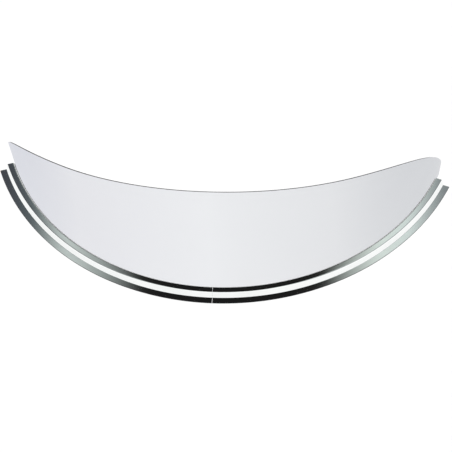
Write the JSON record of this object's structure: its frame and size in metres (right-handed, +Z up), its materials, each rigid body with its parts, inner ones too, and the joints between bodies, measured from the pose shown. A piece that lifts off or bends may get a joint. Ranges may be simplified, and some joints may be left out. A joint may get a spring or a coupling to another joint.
{
  "type": "traffic convex mirror",
  "caption": "Crescent wide-angle mirror: a bent mirror-finish sheet in a stepped bright trim on its lower arc, with a rear arm and end brackets for a wall.",
  "frame": {"origin": "centre of the wall plate's four-hole pattern, on the wall face", "axes": "+Z up, +Y into the wall, -Y the way the mirror faces, +X to the right seen from the front"},
  "size_m": [0.5846, 0.3448, 0.2163],
  "materials": {
    "mirror": "polished",
    "trim": "polished",
    "rubber": "matte",
    "zinc_steel": "satin",
    "fastener": "satin",
    "powder_coat": "satin"
  },
  "bodies": {
    "root": {"mirror_sheet": "mirror", "trim_left": "trim", "trim_right": "trim", "foot_seal": "rubber", "clamp_strip_left": "zinc_steel", "clamp_strip_right": "zinc_steel", "clamp_screws": "fastener", "clamp_nuts": "fastener", "trim_joiner": "zinc_steel", "saddle": "powder_coat", "saddle_bolts": "fastener", "saddle_washers": "fastener", "saddle_nuts": "fastener", "arm_tube": "powder_coat", "arm_set_screws": "fastener", "wall_plate": "powder_coat", "wall_plate_pad": "rubber", "end_bracket_left": "powder_coat", "end_bracket_right": "powder_coat", "end_bracket_bolts": "fastener", "end_bracket_washers": "fastener", "end_bracket_nuts": "fastener", "end_pad_left": "rubber", "end_pad_right": "rubber"}
  },
  "joints": []
}
